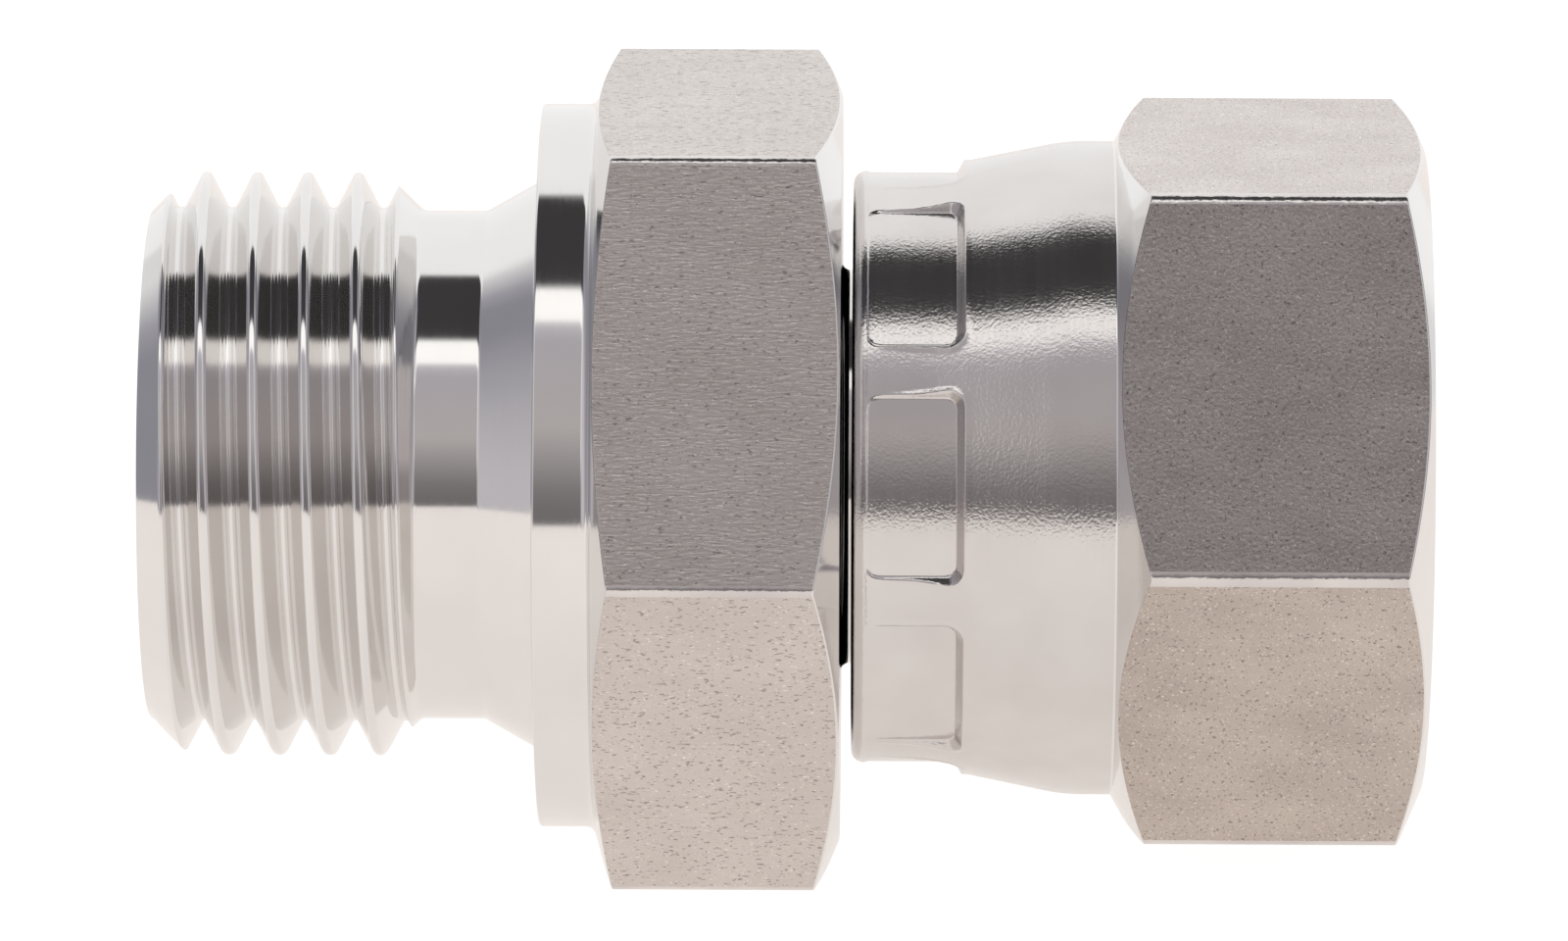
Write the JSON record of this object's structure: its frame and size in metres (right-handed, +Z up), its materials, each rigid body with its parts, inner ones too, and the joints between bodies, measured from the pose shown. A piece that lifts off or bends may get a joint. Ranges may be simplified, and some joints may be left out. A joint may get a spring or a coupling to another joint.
{
  "type": "hydraulic swivel adapter",
  "caption": "Straight hydraulic swivel adapter: a male parallel-thread port stud with a sealing collar and spanner hexagon, and a crimped swivel nut over a 24 degree cone with its sealing ring.",
  "frame": {"origin": "on the flow axis, in the plane of the collar's sealing face", "axes": "+X along the flow axis from the port stud towards the swivel nut, +Z up with one flat of each hexagon facing down"},
  "size_m": [0.0456, 0.0312, 0.027],
  "materials": {
    "body_steel": "bright turned stainless steel, with satin drawn flats on the hexagon",
    "nut_steel": "bright turned stainless steel, grainy where the skirt is crimped, with satin flats",
    "seal_rubber": "smooth matt nitrile rubber"
  },
  "bodies": {
    "body": {"adapter_body": "body_steel", "cone_o_ring": "seal_rubber"},
    "nut": {"swivel_nut": "nut_steel"}
  },
  "joints": [
    {"name": "nut_swivel", "type": "hinge", "parent": "body", "child": "nut", "pos_m": [0, 0, 0], "axis": [1, 0, 0], "continuous": true}
  ]
}
